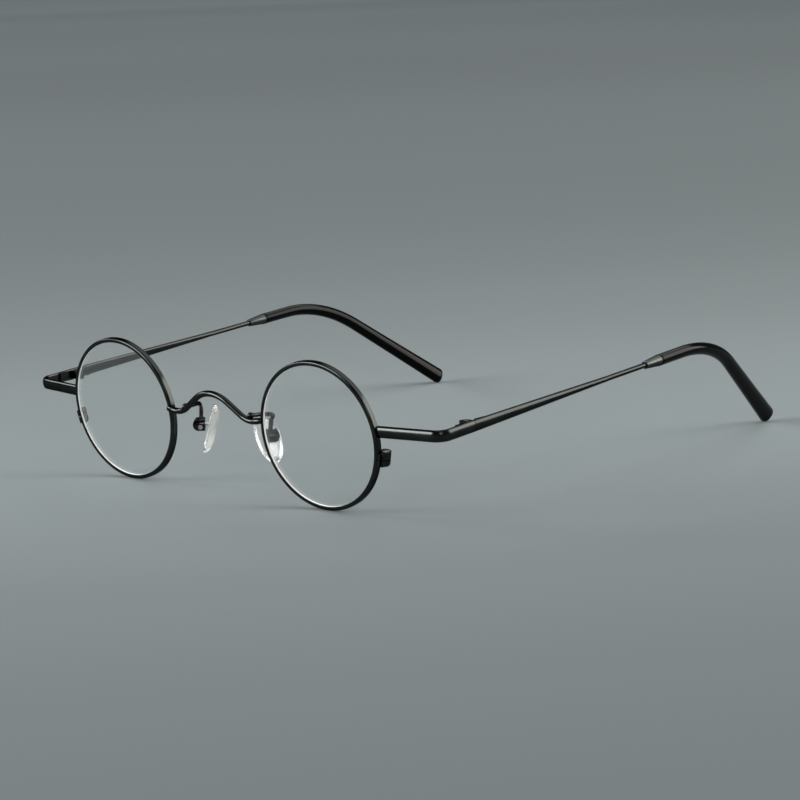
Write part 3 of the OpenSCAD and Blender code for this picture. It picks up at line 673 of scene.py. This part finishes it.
class BuildPadArms(Operator):
    """Builds the two pad arms: a brazed knob, then a wire over a bend and down to its box"""

    bl_idname = "eyeglasses.build_pad_arms"
    bl_label = "Pad arms"

    def execute(self, context):
        pad = context.scene.eyeglass_pads
        points = arm_line()
        start = points[0]
        radius, knob = pad.arm_wire / 2, pad.knob / 2
        way = (points[1] - start).normalized()
        neck = math.pi - math.asin(radius / knob)
        steps = 12
        stations = []
        for i in range(1, steps + 1):
            a = neck * i / steps
            stations.append((start - way * knob * math.cos(a), way, knob * math.sin(a)))
        # The wire goes on from just outside the knob
        stations += [
            (place, heading, radius) for place, heading in spline(points, 10)
            if (place - start).length > knob * 1.15
        ]
        rings = []
        for place, heading, r in stations:
            side = (Vector((1, 0, 0)) - heading * heading.x).normalized()
            rings.append(ring(place, side.cross(heading), side, round_section(r)))
        mesh = skin("pad_arm", rings, sharp=60)
        finish = finish_of("frame_metal")
        add_pair("pad_arm", mesh, "front", "frame_metal", finish, "{side}_pad_arm")
        return {"FINISHED"}


class BuildPadBoxes(Operator):
    """Rounds the edges of the two pad boxes and finishes them"""

    bl_idname = "eyeglasses.build_pad_boxes"
    bl_label = "Pad boxes"

    def execute(self, context):
        mesh = softened_node("left_pad_box", "pad_box", width=0.1 * MM)
        finish = finish_of("frame_metal")
        add_pair("pad_box", mesh, "front", "frame_metal", finish, "{side}_pad_box")
        return {"FINISHED"}


class BuildPadCores(Operator):
    """Builds the two inserts of the pads, thinned to a leaf behind the flat side"""

    bl_idname = "eyeglasses.build_pad_cores"
    bl_label = "Pad inserts"

    def execute(self, context):
        pad = context.scene.eyeglass_pads
        mesh = softened_node("left_pad_core", "pad_core", width=0.02 * MM)
        place = at_pad()
        home = place.inverted()
        for vertex in mesh.vertices:
            spot = home @ vertex.co
            if spot.x < -pad.leaf_back:
                spot.x = -pad.leaf_back
                vertex.co = place @ spot
        finish = finish_of("pad_core")
        add_pair("pad_core", mesh, "{side}_pad_body", "pad_core", finish, "{side}_pad_core")
        return {"FINISHED"}


class BuildNosePads(Operator):
    """Builds the two clear nose pads: soft ovals, nearly flat outside and crowned to the nose"""

    bl_idname = "eyeglasses.build_nose_pads"
    bl_label = "Nose pads"

    def execute(self, context):
        pad = context.scene.eyeglass_pads
        around = 96
        # Powers under 1 make the outline a little fuller than an ellipse
        outline = [
            (signed_power(math.cos(turn), 0.94), signed_power(math.sin(turn), 0.96))
            for turn in (math.tau * i / around for i in range(around))
        ]
        rings = []
        for depth, inset in PAD_LEVELS:
            half_width = pad.width / 2 - inset * pad.thickness
            half_height = pad.height / 2 - inset * pad.thickness
            rings.append([
                Vector((-depth * pad.thickness, y * half_width, z * half_height))
                for y, z in outline
            ])
        mesh = skin("nose_pad", rings, at_pad(), sharp=60)
        finish = finish_of("pad_silicone")
        add_pair("nose_pad", mesh, "{side}_pad_body", "pad_silicone", finish, "{side}_nose_pad")
        return {"FINISHED"}


def bar_section(bar, t, shrink=0.0, around=36):
    """The temple's section, crowned outside, from the bar at 0 to the round wire at 1."""

    def between(a, b):
        return a + (b - a) * t

    half_height = between(bar.height, bar.wire) / 2 - shrink
    half_width = between(bar.thickness, bar.wire) / 2 - shrink
    points = []
    for i in range(around):
        turn = math.tau * (i + 0.5) / around
        c, s = math.cos(turn), math.sin(turn)
        power = 2 / between(bar.crown if c > 0 else bar.inner_crown, 2)
        points.append((signed_power(c, power) * half_width, signed_power(s, power) * half_height))
    return points


class BuildEndPieces(Operator):
    """Builds the two end pieces: a flat bar from the rim, round its bend, to the hinge"""

    bl_idname = "eyeglasses.build_end_pieces"
    bl_label = "End pieces"

    def execute(self, context):
        rim, bar = context.scene.eyeglass_rims, context.scene.eyeglass_bars
        drop = bar.corner_back * math.tan(bar.rise)
        corner = Vector((bar.middle_x, HINGE_PIN.y - bar.corner_back, HINGE_PIN.z - drop))
        turn = math.pi / 2 - bar.sweep
        rim_edge = RIM_CENTRE.x + rim.radius - bar.lap * rim.wall
        reach = (bar.middle_x - rim_edge) / math.cos(bar.sweep)
        outline = bar_section(bar, 0)
        up = Vector((0, 0, 1))
        # From the corner where its two arms would cross, the first runs inwards to the rim
        to_rim = Vector((-math.cos(bar.sweep), -math.sin(bar.sweep), 0))
        arm_side = Vector((math.cos(turn), -math.sin(turn), 0))
        rings = [ring(to_rim * reach, up, arm_side, outline)]
        pivot = Vector((-bar.bend, bar.bend * math.tan(turn / 2), 0))
        steps = 32
        for i in range(steps, -1, -1):
            a = turn * i / steps
            side = Vector((math.cos(a), -math.sin(a), 0))
            rings.append(ring(pivot + side * bar.bend, up, side, outline))
        end = (bar.corner_back - bar.gap / 3) / math.cos(bar.rise)
        upright = Vector((0, math.tan(bar.rise), 1))
        side = Vector((1, 0, 0))
        rings.append(ring(Vector((0, end - bar.edge, 0)), upright, side, outline))
        rings.append(ring(Vector((0, end, 0)), upright, side, bar_section(bar, 0, bar.edge)))
        place = Matrix.Translation(corner) @ Matrix.Rotation(bar.rise, 4, "X")
        mesh = skin("end_piece", rings, place)
        finish = finish_of("frame_metal")
        add_pair("end_piece", mesh, "front", "frame_metal", finish, "{side}_end_piece")
        return {"FINISHED"}


class BuildSmallParts(Operator):
    """Rounds the edges of the rim locks, the hinges and all screws, and finishes them"""

    bl_idname = "eyeglasses.build_small_parts"
    bl_label = "Locks, hinges and screws"

    def execute(self, context):
        # Each part, the rounding of its edges in millimetres, its body and its slot
        parts = (
            ("lock_top", 0.14, "front", "frame_metal"),
            ("lock_bottom", 0.14, "front", "frame_metal"),
            ("lock_screw", 0.05, "front", "small_screw"),
            ("front_hinge", 0.08, "front", "frame_metal"),
            ("hinge_screw", 0.05, "front", "small_screw"),
            ("temple_hinge", 0.08, "{side}_temple_body", "frame_metal"),
            ("pad_screw", 0.13, "front", "pad_screw"),
        )
        for part, width, body, slot in parts:
            mesh = softened_node(f"left_{part}", part, width * MM, segments=4)
            add_pair(f"{part}_piece", mesh, body, slot, finish_of(slot), "{side}_" + part)
        return {"FINISHED"}


class TempleLine:
    """The middle line of a temple and its tip, in the temple's own frame."""

    def __init__(self):
        self.bar, self.tip = bpy.context.scene.eyeglass_bars, bpy.context.scene.eyeglass_tips
        tip = self.tip
        self.tip_at = tip.ferrule_at + tip.ferrule
        self.bend_at = self.tip_at + tip.straight
        self.down = Vector((-math.sin(tip.lean), 0, -math.cos(tip.lean)))
        self.side = Vector((math.cos(tip.lean), 0, -math.sin(tip.lean)))
        self.bend_end = self.bend_place(tip.bend)
        # The drop is as long as it takes for the end of the tip to reach the floor
        lowest = min(self.over_pin(p) for points in self.cap_rings(Vector(), 5) for p in points)
        fall = -self.over_pin(self.heading(tip.bend))
        self.drop = (HINGE_PIN.z + self.over_pin(self.bend_end) + lowest) / fall
        self.length = tip.straight + tip.bend_radius * tip.bend + self.drop

    def heading(self, a):
        return Vector((0, math.cos(a), 0)) + self.down * math.sin(a)

    def upward(self, a):
        return Vector((0, math.sin(a), 0)) - self.down * math.cos(a)

    def over_pin(self, p):
        """A point's height over the hinge pin, once the temple rises to the back."""
        return p.y * math.sin(self.bar.rise) + p.z * math.cos(self.bar.rise)

    def bend_place(self, a):
        r = self.tip.bend_radius
        return Vector((0, self.bend_at + r * math.sin(a), 0)) + self.down * r * (1 - math.cos(a))

    def place(self, s):
        """The place and the angle of the heading, s behind the front of the tip."""
        tip = self.tip
        if s < tip.straight:
            return Vector((0, self.tip_at + s, 0)), 0.0
        a = (s - tip.straight) / tip.bend_radius
        if a < tip.bend:
            return self.bend_place(a), a
        run = s - tip.straight - tip.bend_radius * tip.bend
        return self.bend_end + self.heading(tip.bend) * run, tip.bend

    def cap_rings(self, centre, steps):
        """The rounding of the tip's end, from where the full section ends."""
        tip = self.tip
        rings = []
        for t in (i / steps for i in range(steps + 1)):
            shrink = tip.cap * (1 - math.sqrt(1 - t * t))
            end = oval(tip.end_height / 2 - shrink, tip.end_thickness / 2 - shrink, tip.fullness)
            run = self.heading(tip.bend) * tip.cap * t
            rings.append(ring(centre + run, self.upward(tip.bend), self.side, end))
        return rings

    def body_ring(self, s, shrink=0.0):
        """The tip's outside, s behind its front."""
        tip = self.tip
        k = (s / self.length) ** tip.swell
        centre, turn = self.place(s)
        half_height, half_width = (
            (tip.front + (end - tip.front) * k) / 2 - shrink
            for end in (tip.end_height, tip.end_thickness)
        )
        outline = oval(half_height, half_width, 2 + (tip.fullness - 2) * k)
        return ring(centre, self.upward(turn), self.side, outline)

    def wire_ring(self, s, radius, around=36):
        centre, turn = self.place(s)
        return ring(centre, self.upward(turn), self.side, round_section(radius, around))


class BuildTemples(Operator):
    """Builds the two temples: a tapered bar, a wire and the core of the tip, in one piece"""

    bl_idname = "eyeglasses.build_temples"
    bl_label = "Temples"

    def execute(self, context):
        line = TempleLine()
        bar, tip = line.bar, line.tip
        up, side = Vector((0, 0, 1)), Vector((1, 0, 0))
        upright = Vector((0, math.tan(bar.rise), 1))
        start = bar.gap * 2 / 3
        rings = [
            ring(Vector((0, start, 0)), upright, side, bar_section(bar, 0, bar.edge)),
            ring(Vector((0, start + bar.edge, 0)), upright, side, bar_section(bar, 0)),
        ]
        steps = 48
        rings += [
            ring(Vector((0, bar.taper * i / steps, 0)), up, side, bar_section(bar, i / steps))
            for i in range(1, steps + 1)
        ]
        # The wire's rings start just ahead of the tip and follow its bend
        lead = 1 * MM
        run = lead + line.length - tip.core_short
        steps = 60
        rings += [line.wire_ring(run * i / steps - lead, bar.wire / 2) for i in range(steps + 1)]
        mesh = skin("temple", rings, at_temple())
        finish = finish_of("temple_metal")
        add_pair("temple", mesh, "{side}_temple_body", "temple_metal", finish, "{side}_temple")
        return {"FINISHED"}


class BuildFerrules(Operator):
    """Builds the two ferrules: flared collars that cover the front ends of the tips"""

    bl_idname = "eyeglasses.build_ferrules"
    bl_label = "Ferrules"

    def execute(self, context):
        bar, tip = context.scene.eyeglass_bars, context.scene.eyeglass_tips
        bore, front, back, end = bar.wire / 2, tip.ferrule_front / 2, tip.front / 2, tip.ferrule
        rounding, chamfer, chamfer_run = 0.1 * MM, 0.15 * MM, 0.12 * MM
        bead_top = 0.7 * tip.bead
        corners = [
            (bore, 0), (front, 0), (back - tip.bead_step, end - tip.bead), (back, end - bead_top),
            (back, end - chamfer_run), (back - chamfer, end), (bore, end),
        ]
        place = at_temple() @ Matrix.Translation((0, tip.ferrule_at, 0))
        mesh = lathe("ferrule", soften(corners, rounding), 64, place)
        finish = finish_of("ferrule")
        add_pair("ferrule", mesh, "{side}_temple_body", "temple_metal", finish, "{side}_ferrule")
        return {"FINISHED"}


class BuildTips(Operator):
    """Builds the two black tips, which widen and flatten towards their rounded ends"""

    bl_idname = "eyeglasses.build_tips"
    bl_label = "Tips"

    def execute(self, context):
        line = TempleLine()
        tip = line.tip
        rings = [line.wire_ring(tip.seat, line.bar.wire / 2 + tip.bore_play, around=48)]
        steps = 4
        for a in (math.pi / 2 * i / steps for i in range(steps + 1)):
            inset = tip.edge * (1 - math.sin(a))
            rings.append(line.body_ring(tip.seat + tip.edge * (1 - math.cos(a)), inset))
        start = tip.seat + tip.edge
        steps = 90
        rings += [
            line.body_ring(start + (line.length - start) * i / steps) for i in range(1, steps)
        ]
        end, _ = line.place(line.length)
        rings += line.cap_rings(end, 10)
        mesh = skin("tip", rings, at_temple(), sharp=50)
        add_pair("tip", mesh, "{side}_temple_body", "acetate", finish_of("acetate"), "{side}_tip")
        return {"FINISHED"}


class BuildStage(Operator):
    """Sets up the floor, the soft studio light and the camera"""

    bl_idname = "eyeglasses.build_stage"
    bl_label = "Stage"

    def execute(self, context):
        scene = context.scene
        studio = scene.eyeglass_studio
        self.add_floor(scene, studio)
        self.add_room_light(scene, studio)
        for name, panel in PANELS.items():
            self.add_panel(scene, f"{name}_panel", getattr(studio, name), *panel)
        self.add_camera(scene)
        scene.view_settings.view_transform = "Standard"
        return {"FINISHED"}

    def add_floor(self, scene, studio):
        bm = bmesh.new()
        bmesh.ops.create_grid(bm, x_segments=8, y_segments=8, size=FLOOR_REACH)
        mesh = bpy.data.meshes.new("floor")
        bm.to_mesh(mesh)
        bm.free()
        floor = bpy.data.objects.new("floor", mesh)
        scene.collection.objects.link(floor)
        mesh.materials.append(self.paper_with_painted_light(studio.floor))

    def add_room_light(self, scene, studio):
        scene.world = scene.world or bpy.data.worlds.new("room")
        scene.world.use_nodes = True
        background = scene.world.node_tree.nodes["Background"]
        background.inputs["Color"].default_value = (*studio.air, 1)
        background.inputs["Strength"].default_value = studio.sky

    def add_camera(self, scene):
        data = bpy.data.cameras.new("camera")
        data.lens, data.sensor_width = LENS, SENSOR
        data.clip_start, data.clip_end = 0.05, 60
        camera = bpy.data.objects.new("camera", data)
        scene.collection.objects.link(camera)
        azimuth, elevation, roll = (math.radians(turn) for turn in CAMERA_TURNS)
        camera.matrix_world = (
            Matrix.Translation(Vector(CAMERA_AT) + Vector((0, RIM_CENTRE.y, 0)))
            @ Matrix.Rotation(azimuth, 4, "Z")
            @ Matrix.Rotation(math.pi / 2 - elevation, 4, "X")
            @ Matrix.Rotation(roll, 4, "Z")
        )
        scene.camera = camera

    def paper_with_painted_light(self, base):
        """Grey paper with painted light round the glasses, painted shade behind and painted light
        far back.
        """
        material, nodes, links, shader = new_material("grey_paper_painted_light")
        shader.inputs["Roughness"].default_value = 0.9
        shader.inputs["Specular IOR Level"].default_value = 0.1
        where = nodes.new("ShaderNodeTexCoord")
        along = nodes.new("ShaderNodeVectorMath")
        along.operation = "DOT_PRODUCT"
        along.inputs[1].default_value = (*PAINTED_LIGHT_RUNS, 0)
        links.new(where.outputs["Object"], along.inputs[0])
        first, last = PAINTED_FLOOR_LIGHT[0][0], PAINTED_FLOOR_LIGHT[-1][0]
        share = nodes.new("ShaderNodeMapRange")
        share.inputs["From Min"].default_value = first
        share.inputs["From Max"].default_value = last
        links.new(along.outputs["Value"], share.inputs["Value"])
        # The ramp paints light and shade into the paper's colour along the floor
        painted_light = nodes.new("ShaderNodeValToRGB")
        painted_light.color_ramp.interpolation = "CARDINAL"
        stops = painted_light.color_ramp.elements
        # A new ramp has two stops
        for _ in PAINTED_FLOOR_LIGHT[2:]:
            stops.new(0.5)
        for stop, (place, painted_level) in zip(stops, PAINTED_FLOOR_LIGHT):
            stop.position = (place - first) / (last - first)
            stop.color = (*(c * painted_level for c in base), 1)
        links.new(share.outputs["Result"], painted_light.inputs["Fac"])
        links.new(painted_light.outputs["Color"], shader.inputs["Base Color"])
        return material

    def add_panel(self, scene, name, brightness, width, height, direction, elevation, tint):
        """A soft panel that faces the middle of the rims and isn't seen by the camera."""
        data = bpy.data.lights.new(name, "AREA")
        data.shape, data.color = "RECTANGLE", tint
        data.size, data.size_y = width * PANEL_DISTANCE, height * PANEL_DISTANCE
        data.energy = brightness * math.pi * data.size * data.size_y
        light = bpy.data.objects.new(name, data)
        rise = math.radians(elevation)
        level = Vector((*direction, 0)).normalized() * math.cos(rise)
        towards = level + Vector((0, 0, math.sin(rise)))
        light.location = Vector((0, RIM_CENTRE.y, RIM_CENTRE.z)) + towards * PANEL_DISTANCE
        light.visible_camera = False
        light.rotation_euler = (-towards).to_track_quat("-Z", "Y").to_euler()
        scene.collection.objects.link(light)


class EyeglassesPanel(Panel):
    """Lists the pieces of the eyeglasses and their sizes"""

    bl_idname = "VIEW3D_PT_eyeglasses"
    bl_label = "Eyeglasses"
    bl_space_type = "VIEW_3D"
    bl_region_type = "UI"
    bl_category = "Eyeglasses"

    def draw(self, context):
        for group, operators in SECTIONS:
            box = self.layout.box()
            settings = getattr(context.scene, group)
            for name in settings.__annotations__:
                box.prop(settings, name)
            for operator in operators:
                box.operator(operator.bl_idname)


GROUPS = {
    "eyeglass_rims": RimSizes,
    "eyeglass_lenses": LensSizes,
    "eyeglass_bridge": BridgeSizes,
    "eyeglass_pads": PadSizes,
    "eyeglass_bars": BarSizes,
    "eyeglass_tips": TipSizes,
    "eyeglass_finishes": Finishes,
    "eyeglass_studio": StudioSettings,
}
SECTIONS = (
    ("eyeglass_rims", (BuildRims,)),
    ("eyeglass_lenses", (BuildLenses,)),
    ("eyeglass_bridge", (BuildBridge,)),
    ("eyeglass_pads", (BuildPadArms, BuildPadBoxes, BuildPadCores, BuildNosePads)),
    ("eyeglass_bars", (BuildEndPieces, BuildSmallParts, BuildTemples)),
    ("eyeglass_tips", (BuildFerrules, BuildTips)),
    ("eyeglass_finishes", ()),
    ("eyeglass_studio", (BuildStage,)),
)
CLASSES = (
    *GROUPS.values(),
    *(operator for _, operators in SECTIONS for operator in operators),
    EyeglassesPanel,
)


def register():
    for cls in CLASSES:
        bpy.utils.register_class(cls)
    for name, group in GROUPS.items():
        setattr(bpy.types.Scene, name, PointerProperty(type=group))


def unregister():
    for name in GROUPS:
        delattr(bpy.types.Scene, name)
    for cls in reversed(CLASSES):
        bpy.utils.unregister_class(cls)


def main():
    register()
    bpy.ops.eyeglasses.build_rims()
    bpy.ops.eyeglasses.build_lenses()
    bpy.ops.eyeglasses.build_bridge()
    bpy.ops.eyeglasses.build_pad_arms()
    bpy.ops.eyeglasses.build_pad_boxes()
    bpy.ops.eyeglasses.build_pad_cores()
    bpy.ops.eyeglasses.build_nose_pads()
    bpy.ops.eyeglasses.build_end_pieces()
    bpy.ops.eyeglasses.build_small_parts()
    bpy.ops.eyeglasses.build_temples()
    bpy.ops.eyeglasses.build_ferrules()
    bpy.ops.eyeglasses.build_tips()
    bpy.ops.eyeglasses.build_stage()


if __name__ == "__main__":
    main()
